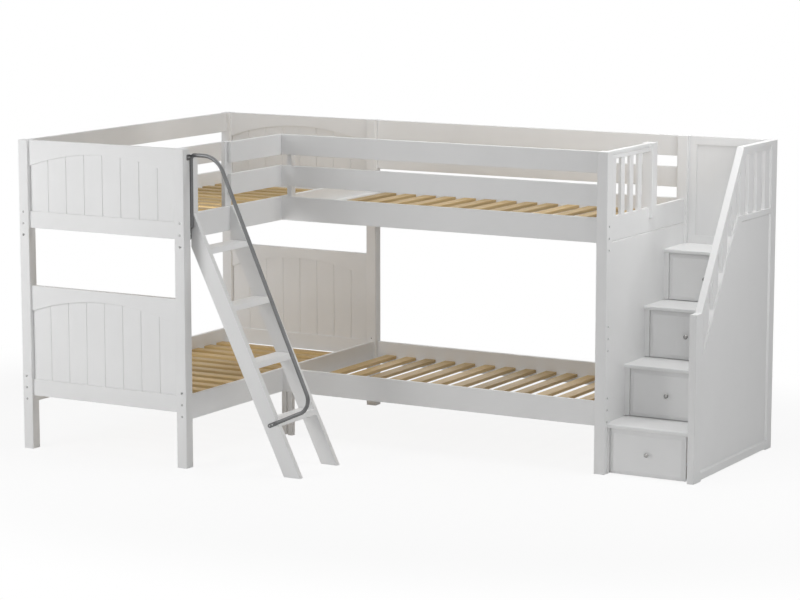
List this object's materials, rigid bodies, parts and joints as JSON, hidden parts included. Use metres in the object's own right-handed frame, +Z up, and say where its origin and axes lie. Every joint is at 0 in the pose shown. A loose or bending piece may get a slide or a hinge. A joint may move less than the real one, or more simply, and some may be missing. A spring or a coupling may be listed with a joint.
{
  "type": "l shaped bunk bed",
  "caption": "Corner pair of bunk beds in white painted wood with slatted bases, a leaning ladder with a metal handrail, and a staircase with a sliding drawer under each tread.",
  "frame": {"origin": "middle of the footprint box on the floor", "axes": "+X along the right bunk towards the staircase, +Y from the ladder side to the back, +Z up"},
  "size_m": [3.565, 2.045, 1.7],
  "materials": {
    "white_paint": "white satin paint over hardwood",
    "slat_wood": "clear finished golden tan wood",
    "drawer_wood": "pale clear finished wood",
    "grey_metal": "grey powder coat, satin",
    "knob_metal": "satin nickel",
    "zinc_bolt": "dull zinc"
  },
  "bodies": {
    "bed_frame": {"post_front_left": "white_paint", "post_front_right": "white_paint", "post_rear_left": "white_paint", "post_rear_right": "white_paint", "end_post_front": "white_paint", "end_post_rear": "white_paint", "front_upper_panel_rails": "white_paint", "front_upper_panel_boards": "white_paint", "front_lower_panel_rails": "white_paint", "front_lower_panel_boards": "white_paint", "rear_upper_panel_rails": "white_paint", "rear_upper_panel_boards": "white_paint", "rear_lower_panel_rails": "white_paint", "rear_lower_panel_boards": "white_paint", "left_bunk_upper_rails": "white_paint", "left_bunk_lower_rails": "white_paint", "right_bunk_upper_rails": "white_paint", "right_bunk_lower_rails": "white_paint", "left_guard_boards": "white_paint", "entry_guard_boards": "white_paint", "front_guard_boards": "white_paint", "back_guard_boards": "white_paint", "entry_guard_posts": "white_paint", "left_upper_slats": "slat_wood", "left_lower_slats": "slat_wood", "right_upper_slats": "slat_wood", "right_lower_slats": "slat_wood", "slat_cleats": "white_paint", "corner_supports": "white_paint", "corner_deck_board": "white_paint", "end_wall_board": "white_paint", "end_guard_rail": "white_paint", "end_guard_balusters": "white_paint", "end_guard_post": "white_paint", "stair_inner_wall": "white_paint", "stair_side_stiles": "white_paint", "stair_side_rails": "white_paint", "stair_side_panel": "white_paint", "stair_handrail": "white_paint", "stair_balusters": "white_paint", "stair_treads": "white_paint", "stair_back_panel": "white_paint", "drawer_runners": "white_paint", "ladder_stiles": "white_paint", "ladder_rungs": "white_paint", "ladder_handrail": "grey_metal", "handrail_brackets": "grey_metal", "bed_bolts": "zinc_bolt"},
    "drawer_1": {"drawer_1_front": "white_paint", "drawer_1_box": "drawer_wood", "drawer_1_knob": "knob_metal"},
    "drawer_2": {"drawer_2_front": "white_paint", "drawer_2_box": "drawer_wood", "drawer_2_knob": "knob_metal"},
    "drawer_3": {"drawer_3_front": "white_paint", "drawer_3_box": "drawer_wood", "drawer_3_knob": "knob_metal"},
    "drawer_4": {"drawer_4_front": "white_paint", "drawer_4_box": "drawer_wood", "drawer_4_knob": "knob_metal"}
  },
  "joints": [
    {"name": "drawer_1_slide", "type": "slide", "parent": "bed_frame", "child": "drawer_1", "axis": [0, -1, 0], "range_m": [0, 0.52]},
    {"name": "drawer_2_slide", "type": "slide", "parent": "bed_frame", "child": "drawer_2", "axis": [0, -1, 0], "range_m": [0, 0.52]},
    {"name": "drawer_3_slide", "type": "slide", "parent": "bed_frame", "child": "drawer_3", "axis": [0, -1, 0], "range_m": [0, 0.37]},
    {"name": "drawer_4_slide", "type": "slide", "parent": "bed_frame", "child": "drawer_4", "axis": [0, -1, 0], "range_m": [0, 0.19]}
  ]
}
